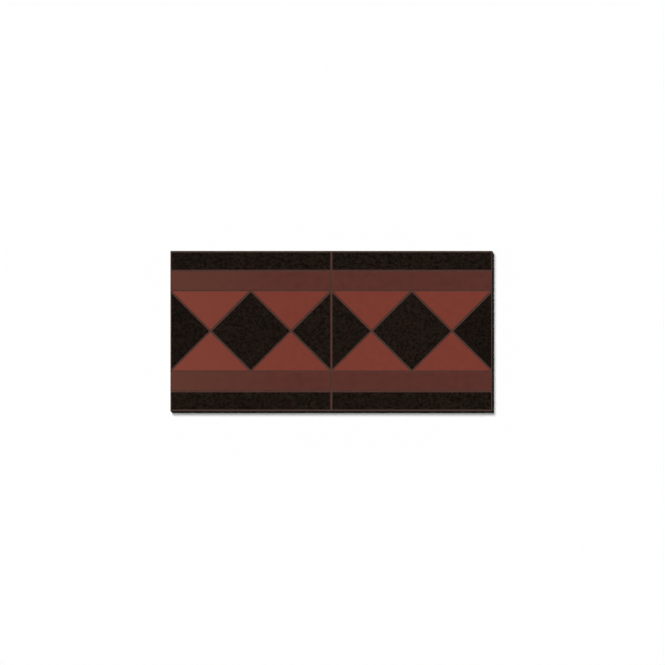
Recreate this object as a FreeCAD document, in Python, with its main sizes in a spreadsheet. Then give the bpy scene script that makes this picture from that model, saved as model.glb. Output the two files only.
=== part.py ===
import FreeCAD, Part
import os
import Sketcher

# Victorian border tile panel, face up, in millimetres. Two square modules stand side by side along X.
# In each, a band of black squares laid on their corners runs along the middle, with red right triangles
# above and below the points where they meet, and a brown strip and a black strip close each side.
# Every colour is a tile of its own, dry pressed from through-coloured clay, and one casting of grout
# fills all the joints. The origin is the middle of the underside.

# Driving dimensions: the tiles, the joints and the side margin are chosen, and the layout follows from them.
DIMENSIONS = {
    "square_side": 51.1,
    "brown_strip_width": 17.05,
    "black_strip_width": 16.15,
    "tile_thickness": 9.0,
    "joint_width": 1.9,
    "band_joint_width": 1.25,
    "side_margin": 1.45,
    "arris_radius": 0.2,
    "grout_recess": 0.3,
    "key_width": 4.0,
    "key_pitch": 8.0,
    "key_depth": 0.5,
}

# Layout as expressions. A pitch is the width of one square on its corner with its joints, and half a joint
# belongs to each neighbour, so a module is two whole pitches long. The joints along the band's two sides
# are narrower than the rest, and the strips follow one another outward from there.
JOINT = "Sizes.joint_width"
BAND_JOINT = "Sizes.band_joint_width"
PITCH = f"((Sizes.square_side + {JOINT}) * sqrt(2))"
MODULE = f"(2 * {PITCH})"
BROWN_SIDE = f"({PITCH} / 2 + {BAND_JOINT} / 2)"
BLACK_SIDE = f"({BROWN_SIDE} + Sizes.brown_strip_width + {JOINT})"
STRIP_LENGTH = f"({MODULE} - {JOINT})"
BROWN_STRIP = (STRIP_LENGTH, "Sizes.brown_strip_width")
BLACK_STRIP = (STRIP_LENGTH, "Sizes.black_strip_width")
WHOLE_SQUARE = ("Sizes.square_side", "Sizes.square_side")

Z_AXIS = FreeCAD.Vector(0, 0, 1)

os.makedirs("parts", exist_ok=True)
doc = FreeCAD.newDocument("border_tile")
sheet = doc.addObject("Spreadsheet::Sheet", "Sizes")
for row, (alias, value) in enumerate(DIMENSIONS.items(), start=1):
    sheet.set(f"A{row}", alias)
    sheet.set(f"B{row}", str(value))
    sheet.setAlias(f"B{row}", alias)
doc.recompute()


# Sketches
def new_sketch(body, name, corners):
    """A closed outline of straight sides on a tile's underside plane.

    The corners only say which way round it goes: the caller's constraints give its size and place.
    """
    sketch = body.newObject("Sketcher::SketchObject", name)
    plane = next(f for f in body.Origin.OriginFeatures if f.Role == "XY_Plane")
    sketch.AttachmentSupport = [(plane, "")]
    sketch.MapMode = "FlatFace"
    points = [FreeCAD.Vector(x, y, 0) for x, y in corners]
    sides = zip(points, points[1:] + points[:1])
    sketch.addGeometry([Part.LineSegment(start, end) for start, end in sides], False)
    for side in range(len(points)):
        following = (side + 1) % len(points)
        sketch.addConstraint(Sketcher.Constraint("Coincident", side, 2, following, 1))
    return sketch


def fix(sketch, name, expression, *constraint):
    """One named size of a sketch, bound to an expression."""
    index = sketch.addConstraint(Sketcher.Constraint(*constraint))
    sketch.renameConstraint(index, name)
    sketch.setExpression(f"Constraints.{name}", expression)


def rectangle_sketch(body, name, length, width, near_edge):
    """A rectangle centred on Y, its near side at near_edge along Y."""
    sketch = new_sketch(body, name, [(-10, 1), (10, 1), (10, 5), (-10, 5)])
    sketch.addConstraint(Sketcher.Constraint("Symmetric", 0, 1, 0, 2, -2))
    for side, direction in ((1, "Vertical"), (2, "Horizontal"), (3, "Vertical")):
        sketch.addConstraint(Sketcher.Constraint(direction, side))
    fix(sketch, "length", length, "DistanceX", 0, 1, 0, 2, 20.0)
    fix(sketch, "width", width, "DistanceY", 1, 1, 1, 2, 4.0)
    fix(sketch, "near_edge", near_edge, "DistanceY", -1, 1, 0, 1, 1.0)
    return sketch


def triangle_base(long_joint):
    """The long side of a square cut corner to corner, less half the joint on each of its three sides."""
    return f"({PITCH} - {long_joint} - {JOINT} * sqrt(2))"


def triangle_sketch(body, name, long_joint):
    """A half square whose long side lies half a joint below the X axis, its right angle further down."""
    sketch = new_sketch(body, name, [(10, -1), (-10, -1), (0, -11)])
    sketch.addConstraint(Sketcher.Constraint("Symmetric", 0, 1, 0, 2, -2))
    sketch.addConstraint(Sketcher.Constraint("Perpendicular", 1, 2))
    sketch.addConstraint(Sketcher.Constraint("PointOnObject", 1, 2, -2))
    fix(sketch, "base", triangle_base(long_joint), "DistanceX", 0, 2, 0, 1, 20.0)
    fix(sketch, "half_joint", f"{long_joint} / 2", "DistanceY", 0, 1, -1, 1, 1.0)
    return sketch


# Tiles
def press_tile(body, outline, reach, far_side, key_length):
    """A tile as the press leaves it: a flat slab, rounded arrises on its face, grooves across its back.

    reach is how far the back runs along Y, up to far_side, and the grooves are spread evenly over it.
    """
    slab = body.newObject("PartDesign::Pad", "Slab")
    slab.Profile = outline
    slab.setExpression("Length", "Sizes.tile_thickness")
    doc.recompute()
    face = DIMENSIONS["tile_thickness"]
    arrises = [
        f"Edge{number}"
        for number, edge in enumerate(slab.Shape.Edges, start=1)
        if all(abs(vertex.Z - face) < 1e-6 for vertex in edge.Vertexes)
    ]
    arris = body.newObject("PartDesign::Fillet", "Arris")
    arris.Base = (slab, arrises)
    arris.setExpression("Radius", "Sizes.arris_radius")
    rows = f"max(1; floor({reach} / Sizes.key_pitch))"
    span = f"(({rows} - 1) * Sizes.key_pitch)"
    margin = f"(({reach} - {span} - Sizes.key_width) / 2)"
    first = f"{far_side} - {margin} - {span} - Sizes.key_width"
    key = rectangle_sketch(body, "KeyOutline", key_length, "Sizes.key_width", first)
    groove = body.newObject("PartDesign::Pocket", "KeyGroove")
    groove.Profile = key
    groove.Reversed = True
    groove.setExpression("Length", "Sizes.key_depth")
    doc.recompute()
    if not groove.Shape.Volume < arris.Shape.Volume:
        raise RuntimeError(f"the groove cuts nothing from {body.Label}")
    keys = body.newObject("PartDesign::LinearPattern", "KeyGrooves")
    keys.Originals = [groove]
    keys.Direction = (key, ["V_Axis"])
    keys.setExpression("Length", span)
    keys.setExpression("Occurrences", rows)
    body.Tip = keys
    tiles.append(body)


def new_body(label, turn, place_x, place_y):
    """A tile's body, turned about Z and placed in the layout."""
    body = doc.addObject("PartDesign::Body", label)
    body.Label = label
    body.Placement = FreeCAD.Placement(FreeCAD.Vector(), FreeCAD.Rotation(Z_AXIS, turn))
    body.setExpression("Placement.Base.x", place_x)
    body.setExpression("Placement.Base.y", place_y)
    return body


def add_rectangle(label, length, width, turn, place_x, place_y):
    body = new_body(label, turn, place_x, place_y)
    outline = rectangle_sketch(body, "Outline", length, width, f"-{width} / 2")
    press_tile(body, outline, width, f"{width} / 2", f"{length} + Sizes.key_pitch")


def add_triangle(label, turn, place_x, place_y, long_joint):
    body = new_body(label, turn, place_x, place_y)
    outline = triangle_sketch(body, "Outline", long_joint)
    base = triangle_base(long_joint)
    press_tile(body, outline, f"({base} / 2)", f"-{long_joint} / 2", base)


tiles = []
for module, centre in ((1, f"-{MODULE} / 2"), (2, f"{MODULE} / 2")):
    # Strips: black outside and brown inside, above and below the band.
    for side, sign in (("upper", ""), ("lower", "-")):
        brown_y = f"{sign}({BROWN_SIDE} + Sizes.brown_strip_width / 2)"
        black_y = f"{sign}({BLACK_SIDE} + Sizes.black_strip_width / 2)"
        add_rectangle(f"brown_strip_{side}_{module}", *BROWN_STRIP, 0, centre, brown_y)
        add_rectangle(f"black_strip_{side}_{module}", *BLACK_STRIP, 0, centre, black_y)
    # Band: a whole black square on its corner, and half a one at each end with its long side outward.
    add_rectangle(f"black_square_{module}", *WHOLE_SQUARE, 45, centre, "0")
    add_triangle(f"black_half_square_{2 * module - 1}", 90, f"{centre} - {PITCH}", "0", JOINT)
    add_triangle(f"black_half_square_{2 * module}", -90, f"{centre} + {PITCH}", "0", JOINT)
    # Red triangles: their long sides lie along the strips and their right angles meet at the points.
    for number, shift in ((2 * module - 1, f"- {PITCH} / 2"), (2 * module, f"+ {PITCH} / 2")):
        place = f"{centre} {shift}"
        add_triangle(f"red_triangle_upper_{number}", 0, place, f"{PITCH} / 2", BAND_JOINT)
        add_triangle(f"red_triangle_lower_{number}", 180, place, f"-{PITCH} / 2", BAND_JOINT)

# Grout: one block over the whole panel, cut by every tile. It stands half a joint out at the two ends and
# a margin out along the two sides. Its top lies below the tiles' rounded arrises and its underside level
# with the roofs of the grooves, so the panel beds on the tiles' own backs.
PANEL_LENGTH = f"(2 * {MODULE})"
PANEL_WIDTH = f"(2 * ({BLACK_SIDE} + Sizes.black_strip_width + Sizes.side_margin))"
block = doc.addObject("Part::Box", "GroutBlock")
block.setExpression("Length", PANEL_LENGTH)
block.setExpression("Width", PANEL_WIDTH)
block.setExpression("Height", "Sizes.tile_thickness - Sizes.grout_recess - Sizes.key_depth")
block.setExpression("Placement.Base.x", f"-{PANEL_LENGTH} / 2")
block.setExpression("Placement.Base.y", f"-{PANEL_WIDTH} / 2")
block.setExpression("Placement.Base.z", "Sizes.key_depth")
laid_tiles = doc.addObject("Part::Compound", "LaidTiles")
laid_tiles.Links = tiles
grout = doc.addObject("Part::Cut", "Grout")
grout.Base = block
grout.Tool = laid_tiles
grout.Label = "grout"

# Every object is sound and every piece is one solid before any file is written.
doc.recompute()
for item in doc.Objects:
    if "Invalid" in item.State or "Error" in item.State:
        raise RuntimeError(f"{item.Label} failed to build")
for piece in tiles + [grout]:
    if piece.Shape.isNull() or not piece.Shape.isValid() or len(piece.Shape.Solids) != 1:
        raise RuntimeError(f"{piece.Label} is not one sound solid")
for piece in tiles + [grout]:
    piece.Shape.exportStep(f"parts/{piece.Label}.step")
    print(piece.Label, round(piece.Shape.Volume), "mm3")
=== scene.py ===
import math

import bpy
import numpy as np
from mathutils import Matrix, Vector, geometry, noise


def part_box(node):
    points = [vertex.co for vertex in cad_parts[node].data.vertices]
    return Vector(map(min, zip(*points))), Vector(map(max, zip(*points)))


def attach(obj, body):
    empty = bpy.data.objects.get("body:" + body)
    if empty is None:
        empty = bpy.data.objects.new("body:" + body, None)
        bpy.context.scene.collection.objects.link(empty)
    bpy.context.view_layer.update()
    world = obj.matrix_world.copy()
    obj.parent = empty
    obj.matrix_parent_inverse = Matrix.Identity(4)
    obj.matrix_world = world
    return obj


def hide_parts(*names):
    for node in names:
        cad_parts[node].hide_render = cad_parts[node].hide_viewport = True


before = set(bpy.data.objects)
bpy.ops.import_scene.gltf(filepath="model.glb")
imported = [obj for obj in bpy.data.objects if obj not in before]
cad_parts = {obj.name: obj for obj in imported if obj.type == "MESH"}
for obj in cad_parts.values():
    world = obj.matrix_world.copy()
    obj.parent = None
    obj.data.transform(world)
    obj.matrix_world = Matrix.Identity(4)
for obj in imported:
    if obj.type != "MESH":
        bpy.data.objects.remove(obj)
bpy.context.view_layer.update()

# Black tiles: two whole squares, four half squares and the four outer strips. Clay stained right through
# with iron and manganese is pressed as a dry powder in a steel die and fired until it vitrifies, with no
# glaze. That leaves a matt and nearly black face, in which the fused grains show as a fine fleck.
MM_PER_M = 1000.0
FACE_MM = 9.0
ARRIS_MM = 0.2
TILES = {name: node for name, node in sorted(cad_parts.items()) if name != "grout"}
for number, tile in enumerate(TILES.values(), start=1):
    tile.pass_index = number


def linear(hex_code):
    """An sRGB hex colour as linear red, green, blue and alpha."""
    shares = [int(hex_code[i : i + 2], 16) / 255 for i in (1, 3, 5)]
    return [s / 12.92 if s <= 0.04045 else ((s + 0.055) / 1.055) ** 2.4 for s in shares] + [1.0]


def add_node(tree, kind, inputs=None, **settings):
    """One node with its settings. An input takes a value, a socket, or a node for its first output in use."""
    node = tree.nodes.new(kind)
    for name, value in settings.items():
        setattr(node, name, value)
    for name, value in (inputs or {}).items():
        sockets = [s for s in node.inputs if s.name == name and s.enabled] or [node.inputs[name]]
        if isinstance(value, bpy.types.Node):
            value = next(s for s in value.outputs if s.enabled)
        if isinstance(value, bpy.types.NodeSocket):
            tree.links.new(value, sockets[0])
        else:
            sockets[0].default_value = value
    return node


def start_material(name):
    """A new material, named for the real one: its node tree and a place on the piece in millimetres."""
    material = bpy.data.materials.new(name)
    material.use_nodes = True
    tree = material.node_tree
    tree.nodes.clear()
    place = add_node(tree, "ShaderNodeTexCoord").outputs["Object"]
    in_mm = add_node(tree, "ShaderNodeVectorMath", {"Vector": place, "Scale": MM_PER_M}, operation="SCALE")
    return material, tree, in_mm


# Each tile has its own part of a pattern, and its own shade. Both come from nothing but its number.
OWN_SHIFT_MM = (31.0, 17.0, 0.0)


def own_place(tree, place):
    """The place, shifted by the tile's own number, so that no pattern runs on across a joint."""
    number = add_node(tree, "ShaderNodeObjectInfo").outputs["Object Index"]
    shift = add_node(tree, "ShaderNodeVectorMath", {0: number, 1: OWN_SHIFT_MM}, operation="MULTIPLY")
    return add_node(tree, "ShaderNodeVectorMath", {0: place, 1: shift}, operation="ADD")


def from_kiln(tree, colour, spread):
    """The colour of one tile, a little deeper or paler than its fellows, by as much as the spread."""
    number = add_node(tree, "ShaderNodeObjectInfo").outputs["Object Index"]
    heat = add_node(tree, "ShaderNodeTexWhiteNoise", {"W": number}, noise_dimensions="1D").outputs["Value"]
    fired = add_node(tree, "ShaderNodeMapRange", {"Value": heat, "To Min": 1 - spread, "To Max": 1 + spread})
    return add_node(tree, "ShaderNodeVectorMath", {"Vector": colour, "Scale": fired}, operation="SCALE")


# The clay's skin: unglazed and vitrified, so matt with a faint gloss. As the tiles are sorted, the arris is
# rubbed a little paler, from 0.02 mm below the face. The kiln's dust lies in patches of 7 mm over the lowest
# millimetre. The grain stands 0.02 mm proud, which only breaks up the light.
FACE_END_MM = FACE_MM - 0.02
RUBBED_MM = FACE_MM - ARRIS_MM / 2
RUBBED_SHARE = 0.4
DUST_TOP_MM = 1.0
DUST_FULL_MM = 0.6
DUST_PATCH_MM = 7.0
GRAIN_RELIEF_MM = 0.02
CLAY_ROUGH = (0.5, 0.62)
CLAY_GLOSS = 0.4


def close_clay(tree, place, colour, grain, worn, dust):
    """What the press and the kiln leave on every tile, around its colour and its grain.

    The arris is a shade paler, and the back has a film of the kiln's dust.
    """
    height = add_node(tree, "ShaderNodeSeparateXYZ", {"Vector": place}).outputs["Z"]
    on_arris = add_node(
        tree, "ShaderNodeMapRange", {"Value": height, "From Min": FACE_END_MM, "From Max": RUBBED_MM}
    )
    above = add_node(tree, "ShaderNodeMath", {0: height, 1: FACE_MM - ARRIS_MM}, operation="GREATER_THAN")
    rubbed = add_node(tree, "ShaderNodeMath", {0: on_arris, 1: above}, operation="MULTIPLY")
    rubbed = add_node(tree, "ShaderNodeMath", {0: rubbed, 1: RUBBED_SHARE}, operation="MULTIPLY")
    worn_colour = add_node(
        tree, "ShaderNodeMix", {"Factor": rubbed, "A": colour, "B": linear(worn)}, data_type="RGBA"
    )
    at_back = add_node(
        tree, "ShaderNodeMapRange", {"Value": height, "From Min": DUST_TOP_MM, "From Max": DUST_FULL_MM}
    )
    patches = add_node(
        tree, "ShaderNodeTexNoise", {"Vector": place, "Scale": 1 / DUST_PATCH_MM, "Detail": 3.0}
    )
    film = add_node(tree, "ShaderNodeMath", {0: at_back, 1: patches}, operation="MULTIPLY")
    dusty = add_node(
        tree, "ShaderNodeMix", {"Factor": film, "A": worn_colour, "B": linear(dust)}, data_type="RGBA"
    )
    rough = add_node(
        tree, "ShaderNodeMapRange", {"Value": grain, "To Min": CLAY_ROUGH[0], "To Max": CLAY_ROUGH[1]}
    )
    relief = add_node(tree, "ShaderNodeBump", {"Height": grain, "Distance": GRAIN_RELIEF_MM / MM_PER_M})
    shader = add_node(
        tree,
        "ShaderNodeBsdfPrincipled",
        {"Base Color": dusty, "Roughness": rough, "Normal": relief, "Specular IOR Level": CLAY_GLOSS},
    )
    add_node(tree, "ShaderNodeOutputMaterial", {"Surface": shader})


def lay(material, word):
    """Gives a material to every tile whose name holds a word."""
    for name, tile in TILES.items():
        if word in name:
            tile.data.materials.clear()
            tile.data.materials.append(material)


# The real grains are 0.2 to 0.4 mm across, too fine to show, so they are drawn as cells of 1.4 mm, each of
# its own shade. Where more iron or more manganese lies, over 6 mm or so, the black turns a little to red
# or to green.
FUSED_GRAIN_MM = 1.4
IRON_STAIN_MM = 6.0
IRON_BOUNDS = (0.38, 0.62)
BLACK_SPREAD = 0.14


def fused_clay(name, grounds, flecks):
    """A black clay. Its ground and its fleck each have a colour for less iron and one for more."""
    clay, tree, place = start_material(name)
    own = own_place(tree, place)
    fused = add_node(tree, "ShaderNodeTexVoronoi", {"Vector": own, "Scale": 1 / FUSED_GRAIN_MM})
    grain = add_node(tree, "ShaderNodeSeparateXYZ", {"Vector": fused.outputs["Color"]}).outputs["X"]
    stain = add_node(tree, "ShaderNodeTexNoise", {"Vector": own, "Scale": 1 / IRON_STAIN_MM, "Detail": 1.0})
    iron = add_node(
        tree, "ShaderNodeMapRange", {"Value": stain, "From Min": IRON_BOUNDS[0], "From Max": IRON_BOUNDS[1]}
    )
    ground, fleck = (
        add_node(
            tree, "ShaderNodeMix", {"Factor": iron, "A": linear(less), "B": linear(more)}, data_type="RGBA"
        )
        for less, more in (grounds, flecks)
    )
    black = add_node(tree, "ShaderNodeMix", {"Factor": grain, "A": ground, "B": fleck}, data_type="RGBA")
    black = from_kiln(tree, black, BLACK_SPREAD)
    close_clay(tree, place, black, grain, worn="#251C18", dust="#4A423C")
    return clay


black_clay = fused_clay("unglazed_vitrified_black_clay", ("#0D0906", "#0F0906"), ("#201914", "#231914"))
lay(black_clay, "black")

# The outer strips are of a batch of the black powder that was mixed less finely, so their fleck stands out
# more than the squares' does.
coarse_clay = fused_clay("coarse_vitrified_black_clay", ("#090604", "#0A0604"), ("#221B15", "#251A15"))
lay(coarse_clay, "black_strip")

# Brown tiles: the four strips next to the band. Red clay with some manganese, pressed and fired in the
# same way, but of a finer powder, so the face is plain chocolate brown with only a faint clouding.
CLOUD_MM = 9.0
CLOUD_BOUNDS = (0.35, 0.65)
PALE_END_MM = -150.0
PALE_FADES_MM = -40.0
POWDER_MM = 0.9
FINE_SPREAD = 0.012


def clouded_clay(name, deep, light, paler_end, worn, dust):
    """A fine plain clay. The clouds come from the powder's filling of the die.

    Towards the panel's left end the clay is drawn a shade paler.
    """
    clay, tree, place = start_material(name)
    own = own_place(tree, place)
    clouds = add_node(
        tree, "ShaderNodeTexNoise", {"Vector": own, "Scale": 1 / CLOUD_MM, "Detail": 3.0, "Roughness": 0.6}
    )
    cloud = add_node(
        tree,
        "ShaderNodeMapRange",
        {"Value": clouds, "From Min": CLOUD_BOUNDS[0], "From Max": CLOUD_BOUNDS[1]},
    )
    plain = add_node(
        tree, "ShaderNodeMix", {"Factor": cloud, "A": linear(deep), "B": linear(light)}, data_type="RGBA"
    )
    along = add_node(tree, "ShaderNodeSeparateXYZ", {"Vector": place}).outputs["X"]
    toward_left_end = add_node(
        tree, "ShaderNodeMapRange", {"Value": along, "From Min": PALE_FADES_MM, "From Max": PALE_END_MM}
    )
    colour = add_node(
        tree, "ShaderNodeMix", {"Factor": toward_left_end, "A": plain, "B": linear(paler_end)}, data_type="RGBA"
    )
    # The powder's grains are under 0.1 mm, drawn at 0.9 mm so that they roughen the light a little.
    grain = add_node(
        tree, "ShaderNodeTexNoise", {"Vector": own, "Scale": 1 / POWDER_MM, "Detail": 2.0, "Roughness": 0.6}
    )
    close_clay(tree, place, from_kiln(tree, colour, FINE_SPREAD), grain, worn, dust)
    return clay


brown_clay = clouded_clay(
    "unglazed_vitrified_brown_clay",
    deep="#572F2A",
    light="#5C332B",
    paler_end="#5E382E",
    worn="#6A4339",
    dust="#8A6A5C",
)
lay(brown_clay, "brown")

# Red tiles: the eight half squares between the black ones. Plain iron-rich clay, fired until it turns
# brick red, as fine and as matt as the brown.
red_clay = clouded_clay(
    "unglazed_vitrified_red_clay",
    deep="#78392F",
    light="#7B3C30",
    paler_end="#7E4034",
    worn="#8C4A3C",
    dust="#A07060",
)
lay(red_clay, "red")

# Grout: one casting of tinted cement and fine sand, wiped into every joint and struck off with a damp
# sponge, which leaves it a little hollow between the tiles and sandy. Outside the last tiles its top is
# level, and it is sawn off square. It replaces the plain casting, and fills the same room.
MEET_MM = 8.8
HALF_JOINT_MM = 0.95
DISH_MM = 0.08
LEVEL_MM = 0.5
SKIN_MM = 0.15

# Its top is a mesh with a point every 0.6 mm. Between the outlines the points stand in rows that make the
# triangles even-sided, each drawn a little off its place so that no row shows.
STEP_MM = 0.6
ROW_SHARE = 0.87
JITTER = 0.25
SAME_MM = 0.01
MERGE_MM = 1e-4
SHARP_DEG = 50


def plan_corners(tile):
    """A tile's corners seen from above, in millimetres and in order round it, read where its arris begins."""
    corners = []
    for place in (vertex.co * MM_PER_M for vertex in tile.data.vertices):
        at_arris = abs(place.z - (FACE_MM - ARRIS_MM)) < SAME_MM
        if at_arris and all((place.xy - corner).length > SAME_MM for corner in corners):
            corners.append(place.xy)
    middle = sum(corners, Vector((0, 0))) / len(corners)
    return np.array(sorted(corners, key=lambda corner: math.atan2(corner.y - middle.y, corner.x - middle.x)))


def outside(points, corners):
    """How far each point lies outside a tile's sides, or below zero within them."""
    sides = np.roll(corners, -1, 0) - corners
    outward = np.c_[sides[:, 1], -sides[:, 0]] / np.linalg.norm(sides, axis=1)[:, None]
    return ((points[:, None] - corners) * outward).sum(2).max(1)


def clear_of_tiles(points):
    """How far each point lies from the nearest tile."""
    return np.min([outside(points, corners) for corners in outlines], 0)


def walk(corners, step):
    """One run of points for each side of an outline, a step apart or nearly so, from corner to corner."""
    runs = []
    for start, end in zip(corners, np.roll(corners, -1, 0)):
        count = max(1, round(np.linalg.norm(end - start) / step))
        runs.append(start + (end - start) * (np.arange(count) / count)[:, None])
    return runs


def fill(points, loops):
    """Triangles between the outer outline and the tiles. The outlines come first among the points."""
    edges, first = [], 0
    for loop in loops:
        edges += [(first + i, first + (i + 1) % len(loop)) for i in range(len(loop))]
        first += len(loop)
    made = geometry.delaunay_2d_cdt([Vector(point) for point in points], edges, [], 1, MERGE_MM)
    triangles = np.array([olds[0] for olds in made[3]])[np.array(made[2])]
    middles = points[triangles].mean(1)
    return triangles[clear_of_tiles(middles) > 0].tolist()


def ripple(points, height, size):
    """Smooth noise from 0 to 1, some size across."""
    return np.array([0.5 + 0.5 * noise.noise(Vector((x, y, height)) / size) for x, y in points])


draw = np.random.default_rng(11)
outlines = [plan_corners(tile) for tile in TILES.values()]
low, high = (np.array(corner) * MM_PER_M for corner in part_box("grout"))
rim = np.array([[low[0], low[1]], [high[0], low[1]], [high[0], high[1]], [low[0], high[1]]])
cut = np.concatenate(walk(rim, STEP_MM))
pockets = [walk(corners, STEP_MM) for corners in outlines]
loops = [cut] + [np.concatenate(runs) for runs in pockets]
across, down = np.meshgrid(
    np.arange(low[0], high[0], STEP_MM), np.arange(low[1], high[1], STEP_MM * ROW_SHARE)
)
across[::2] += STEP_MM / 2
grid = np.c_[across.ravel(), down.ravel()]
grid += draw.uniform(-JITTER, JITTER, grid.shape) * STEP_MM
inner = (clear_of_tiles(grid) > STEP_MM / 2) & (np.abs(grid) < high[:2] - STEP_MM / 2).all(1)
plan = np.concatenate(loops + [grid[inner]])
faces = fill(plan, loops)

# The hollow top, level again past the outermost tiles, with its sand, and the worn edge of the outer cut.
SAND_RELIEF_MM = 0.04
SAND_WAVE_MM = 0.9
WEAR_MM = 0.03
EDGE_WAVE_MM = 2.5
EDGE_LEVEL_MM = 8.6
beyond = ((np.abs(plan) - np.concatenate(outlines).max(0)) / LEVEL_MM).max(1)
share = np.clip(clear_of_tiles(plan) / HALF_JOINT_MM, 0, 1) * (1 - np.clip(beyond, 0, 1))
top = MEET_MM - DISH_MM * (1 - (1 - share) ** 2)
top += SAND_RELIEF_MM * (ripple(plan, 0, SAND_WAVE_MM) - 0.5) * 2
top += draw.normal(0, SAND_RELIEF_MM / 4, len(plan))
worn = WEAR_MM * (1 + ripple(cut, EDGE_LEVEL_MM, EDGE_WAVE_MM))
plan[: len(cut)] = np.clip(cut, low[:2] + worn[:, None], high[:2] - worn[:, None])
places = [np.c_[plan, top]]

# The outer cut, in rows from the bed up to the top, with the saw's marks. Where the saw has pulled out a
# grain or opened a bubble of air it is pitted, though not along its two edges.
CUT_ROWS = 15
SAW_MARK_MM = 1.7
SAW_GRAIN_MM = 0.8
PIT_WAVE_MM = 2.2
PIT_DEPTH_MM = 0.25
PIT_START = 0.65
PIT_STEEPNESS = 4
first = len(plan)
for row, height in enumerate(np.linspace(low[2], MEET_MM - SKIN_MM, CUT_ROWS)):
    rough = 2 * ripple(cut, height, SAW_MARK_MM) + ripple(cut, height, SAW_GRAIN_MM)
    pits = np.clip(PIT_STEEPNESS * (ripple(cut, height, PIT_WAVE_MM) - PIT_START), 0, 1)
    pits *= 0 < row < CUT_ROWS - 1
    worn = WEAR_MM * (rough + (row == 0)) + PIT_DEPTH_MM * pits
    ring = np.clip(cut, low[:2] + worn[:, None], high[:2] - worn[:, None])
    places.append(np.c_[ring, np.full(len(cut), height)])
    above = first + len(cut) if row < CUT_ROWS - 1 else 0
    for i in range(len(cut)):
        ahead = (i + 1) % len(cut)
        faces.append([first + i, first + ahead, above + ahead, above + i])
    first += len(cut)
sandy_faces = len(faces)

# The plain walls against the tiles, and the underside that they stand on.
start = len(cut)
bed = [places[1][:, :2]] + outlines
for corners, runs in zip(outlines, pockets):
    loop = np.arange(sum(map(len, runs)) + 1) + start
    loop[-1] = start
    side = 0
    for i, run in enumerate(runs):
        ahead = (i + 1) % len(runs)
        faces.append([*loop[side : side + len(run) + 1].tolist(), first + ahead, first + i])
        side += len(run)
    places.append(np.c_[corners, np.full(len(corners), low[2])])
    start += side
    first += len(corners)
under = np.r_[len(plan) : len(plan) + len(cut), first - sum(map(len, outlines)) : first]
faces += [under[triangle][::-1].tolist() for triangle in fill(np.concatenate(bed), bed)]
casting_mesh = bpy.data.meshes.new("grout_casting")
casting_mesh.from_pydata(np.concatenate(places) / MM_PER_M, [], faces)
casting_mesh.polygons.foreach_set("use_smooth", np.arange(len(faces)) < sandy_faces)
casting_mesh.set_sharp_from_angle(angle=math.radians(SHARP_DEG))
casting = bpy.data.objects.new("grout_casting", casting_mesh)
bpy.context.scene.collection.objects.link(casting)
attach(casting, "root")
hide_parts("grout")

# Sand is 0.1 to 0.3 mm, drawn at 0.5 mm. The cement takes up more or less water along a joint, so its
# shade drifts over 8 mm or so. Between the tiles the sponge has left a little red clay in the skin, and
# the rim past them is greyer.
SAND_GRAIN_MM = 0.5
DAMP_MM = 8.0
DAMP_BOUNDS = (0.35, 0.65)
RIM_MM = 0.3
cement, tree, place = start_material("sanded_cement_grout")
sand = add_node(tree, "ShaderNodeTexVoronoi", {"Vector": place, "Scale": 1 / SAND_GRAIN_MM})
sand_shade = add_node(tree, "ShaderNodeSeparateXYZ", {"Vector": sand.outputs["Color"]}).outputs["X"]
damp = add_node(tree, "ShaderNodeTexNoise", {"Vector": place, "Scale": 1 / DAMP_MM, "Detail": 2.0})
drift = add_node(
    tree, "ShaderNodeMapRange", {"Value": damp, "From Min": DAMP_BOUNDS[0], "From Max": DAMP_BOUNDS[1]}
)
stained = add_node(
    tree, "ShaderNodeMix", {"Factor": drift, "A": linear("#4E342D"), "B": linear("#523731")}, data_type="RGBA"
)
spread = add_node(tree, "ShaderNodeVectorMath", {0: place}, operation="ABSOLUTE")
tiles_end = (*np.concatenate(outlines).max(0), 0.0)
past = add_node(tree, "ShaderNodeVectorMath", {0: spread, 1: tiles_end}, operation="SUBTRACT")
past = add_node(tree, "ShaderNodeSeparateXYZ", {"Vector": past}).outputs
past_tiles = add_node(tree, "ShaderNodeMath", {0: past["X"], 1: past["Y"]}, operation="MAXIMUM")
at_rim = add_node(tree, "ShaderNodeMapRange", {"Value": past_tiles, "From Max": RIM_MM})
paste = add_node(
    tree, "ShaderNodeMix", {"Factor": at_rim, "A": stained, "B": linear("#4D3C34")}, data_type="RGBA"
)

# The skin that the sponge has wiped is pale. The body below it shows on the outer cut, in patches of 14 mm,
# and shows its sand more. It is drawn very dark, partly painted shade, so that little light comes off it into
# the panel's shadow. Its colour runs over the outer 0.1 to 0.4 mm of the top too, a painted shadow line along
# the panel's edge. Here and there a pinhole of air has been left, its dark colour painted shade in the hole.
SKIN_END_MM = MEET_MM - DISH_MM - SKIN_MM
BODY_MM = SKIN_END_MM - SKIN_MM
WET_MM = 14.0
WET_BOUNDS = (0.4, 0.6)
SKIN_CONTRAST = 0.3
DARK_EDGE_MM = 0.4
DARK_EDGE_FULL_MM = 0.1
HOLE_SPACING_MM = 4.0
HOLE_RIM = (0.08, 0.12)
SAND_BUMP_MM = 0.03
HOLE_DEPTH_MM = 0.15
height = add_node(tree, "ShaderNodeSeparateXYZ", {"Vector": place}).outputs["Z"]
depth = add_node(
    tree, "ShaderNodeMapRange", {"Value": height, "From Min": SKIN_END_MM, "From Max": BODY_MM}
)
past_cut = add_node(tree, "ShaderNodeVectorMath", {0: spread, 1: (*high[:2], 0.0)}, operation="SUBTRACT")
past_cut = add_node(tree, "ShaderNodeSeparateXYZ", {"Vector": past_cut}).outputs
past_cut = add_node(tree, "ShaderNodeMath", {0: past_cut["X"], 1: past_cut["Y"]}, operation="MAXIMUM")
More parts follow.
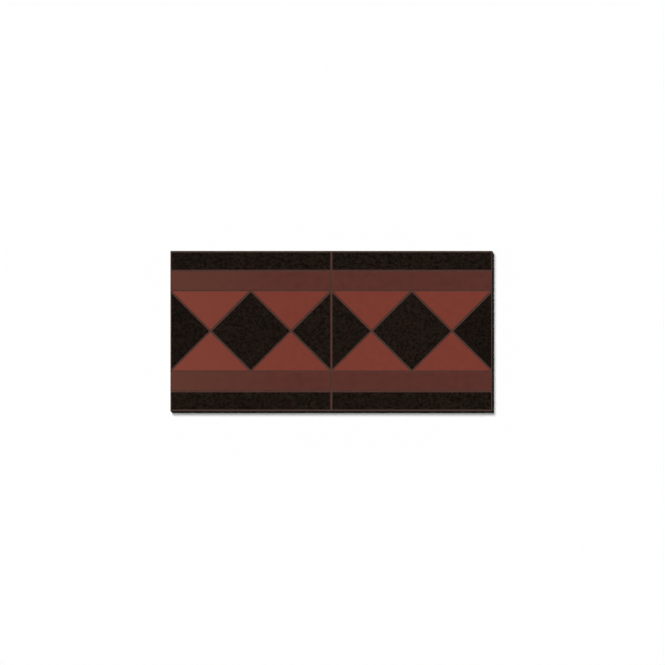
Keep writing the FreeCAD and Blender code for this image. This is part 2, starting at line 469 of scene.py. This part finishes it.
# Painted shadow line: the outer 0.1 to 0.4 mm of the top takes the dark body colour.
dark_edge_share = add_node(
    tree, "ShaderNodeMapRange", {"Value": past_cut, "From Min": -DARK_EDGE_MM, "From Max": -DARK_EDGE_FULL_MM}
)
depth = add_node(tree, "ShaderNodeMath", {0: depth, 1: dark_edge_share}, operation="MAXIMUM")
wet = add_node(tree, "ShaderNodeTexNoise", {"Vector": place, "Scale": 1 / WET_MM, "Detail": 3.0})
wet = add_node(
    tree, "ShaderNodeMapRange", {"Value": wet, "From Min": WET_BOUNDS[0], "From Max": WET_BOUNDS[1]}
)
# The body's very dark colour is partly painted shade.
sawn = add_node(
    tree, "ShaderNodeMix", {"Factor": wet, "A": linear("#35281F"), "B": linear("#251A17")}, data_type="RGBA"
)
body = add_node(tree, "ShaderNodeMix", {"Factor": depth, "A": paste, "B": sawn}, data_type="RGBA")
contrast = add_node(tree, "ShaderNodeMapRange", {"Value": depth, "To Min": SKIN_CONTRAST, "To Max": 1.0})
bare = add_node(tree, "ShaderNodeMath", {0: sand_shade, 1: 0.5}, operation="SUBTRACT")
grains = add_node(tree, "ShaderNodeMath", {0: bare, 1: contrast, 2: 1.0}, operation="MULTIPLY_ADD")
shaded = add_node(tree, "ShaderNodeVectorMath", {"Vector": body, "Scale": grains}, operation="SCALE")
holes = add_node(tree, "ShaderNodeTexVoronoi", {"Vector": place, "Scale": 1 / HOLE_SPACING_MM})
pinhole = add_node(
    tree,
    "ShaderNodeMapRange",
    {"Value": holes.outputs["Distance"], "From Min": HOLE_RIM[0], "From Max": HOLE_RIM[1]},
)
# The pinholes' dark colour is painted shade in the holes.
pitted_with_hole_shade = add_node(
    tree, "ShaderNodeMix", {"Factor": pinhole, "A": linear("#2C1C18"), "B": shaded}, data_type="RGBA"
)
relief = add_node(tree, "ShaderNodeBump", {"Height": sand_shade, "Distance": SAND_BUMP_MM / MM_PER_M})
relief = add_node(
    tree, "ShaderNodeBump", {"Height": pinhole, "Distance": HOLE_DEPTH_MM / MM_PER_M, "Normal": relief}
)
cement_shader = add_node(
    tree,
    "ShaderNodeBsdfPrincipled",
    {"Base Color": pitted_with_hole_shade, "Roughness": 0.95, "Specular IOR Level": 0.2, "Normal": relief},
)
add_node(tree, "ShaderNodeOutputMaterial", {"Surface": cement_shader})
casting_mesh.materials.append(cement)
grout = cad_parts["grout"]
grout.data.materials.clear()
grout.data.materials.append(cement)

# Floor: a sheet of matt white paper, wide enough to fill every view, that takes the panel's shadow. Its
# white is just under full, so that the lamps don't clip it.
PAPER_REACH_M = 4.0
paper_mesh = bpy.data.meshes.new("paper")
paper_mesh.from_pydata(
    [(x * PAPER_REACH_M, y * PAPER_REACH_M, 0) for x, y in ((-1, -1), (1, -1), (1, 1), (-1, 1))],
    [],
    [(0, 1, 2, 3)],
)
paper_floor = bpy.data.objects.new("paper", paper_mesh)
bpy.context.scene.collection.objects.link(paper_floor)
paper, tree, _ = start_material("matt_white_paper")
paper_shader = add_node(
    tree,
    "ShaderNodeBsdfPrincipled",
    {"Base Color": linear("#FEFEFE"), "Roughness": 1.0, "Specular IOR Level": 0.0},
)
add_node(tree, "ShaderNodeOutputMaterial", {"Surface": paper_shader})
paper_mesh.materials.append(paper)


# Light: a small spot and a softbox, both up to the left behind the panel. Together with the faint fill
# from the room they light a level white face to just under white. The spot gives the dark core of the
# shadow along the right and the front, and the softbox its soft edge. Neither mirrors in the tiles.
def add_lamp(name, share, right_mm, front_mm, angle_deg):
    """A lamp far off: its share of the light, how far it throws the rim's shadow, and how wide it looks."""
    aim = Vector((right_mm, -front_mm, -MEET_MM)).normalized()
    data = bpy.data.lights.new(name, "SUN")
    data.angle = math.radians(angle_deg)
    data.energy = share * math.pi / -aim.z
    lamp = bpy.data.objects.new(name, data)
    lamp.rotation_euler = aim.to_track_quat("-Z", "Y").to_euler()
    lamp.visible_glossy = False
    bpy.context.scene.collection.objects.link(lamp)


add_lamp("spot", share=0.29, right_mm=1.75, front_mm=1.9, angle_deg=0.2)
add_lamp("softbox", share=0.703, right_mm=2.8, front_mm=4.1, angle_deg=17.0)

# Room: dark overhead, so that the black stays deep from above, and paler low down. To the camera it is as
# white as the paper, and so it is low down to anything that mirrors it, which gives the matt faces a sheen
# in a low view.
OVERHEAD = 0.004
LOW_DOWN = 0.1
LOW_RISE = 0.5
room = bpy.data.worlds.new("room")
room.use_nodes = True
bpy.context.scene.world = room
tree = room.node_tree
tree.nodes.clear()
aim = add_node(tree, "ShaderNodeTexCoord").outputs["Generated"]
rise = add_node(tree, "ShaderNodeSeparateXYZ", {"Vector": aim}).outputs["Z"]
low_down = add_node(tree, "ShaderNodeMapRange", {"Value": rise, "From Min": LOW_RISE, "From Max": 0.0})
glow = add_node(tree, "ShaderNodeMapRange", {"Value": low_down, "To Min": OVERHEAD, "To Max": LOW_DOWN})
walls = add_node(tree, "ShaderNodeBackground", {"Color": linear("#FFFFFF"), "Strength": glow})
backdrop = add_node(tree, "ShaderNodeBackground", {"Color": linear("#FFFFFF"), "Strength": 1.0})
ray = add_node(tree, "ShaderNodeLightPath").outputs
mirrored = add_node(
    tree, "ShaderNodeMath", {0: ray["Is Glossy Ray"], 1: ray["Is Transmission Ray"]}, operation="MAXIMUM"
)
mirrored = add_node(tree, "ShaderNodeMath", {0: mirrored, 1: low_down}, operation="MULTIPLY")
white = add_node(tree, "ShaderNodeMath", {0: ray["Is Camera Ray"], 1: mirrored}, operation="MAXIMUM")
seen = add_node(tree, "ShaderNodeMixShader", {0: white, 1: walls, 2: backdrop})
add_node(tree, "ShaderNodeOutputWorld", {"Surface": seen})

# Camera: straight above, so far off that the panel shows no perspective. The panel's middle lies a pixel
# or so to the left of the frame's middle, and above it.
MM_PER_PIXEL = 0.931155
FRAME_PIXELS = 665
SHIFT_PIXELS = (1.15, -1.5)
camera_data = bpy.data.cameras.new("camera")
camera_data.lens = 1200.0
camera_data.sensor_width = 36.0
camera = bpy.data.objects.new("camera", camera_data)
reach_mm = FRAME_PIXELS * MM_PER_PIXEL * camera_data.lens / camera_data.sensor_width
aside_mm = [shift * MM_PER_PIXEL for shift in SHIFT_PIXELS]
camera.location = Vector((*aside_mm, FACE_MM + reach_mm)) / MM_PER_M
bpy.context.scene.collection.objects.link(camera)
bpy.context.scene.camera = camera
bpy.context.scene.view_settings.view_transform = "Standard"
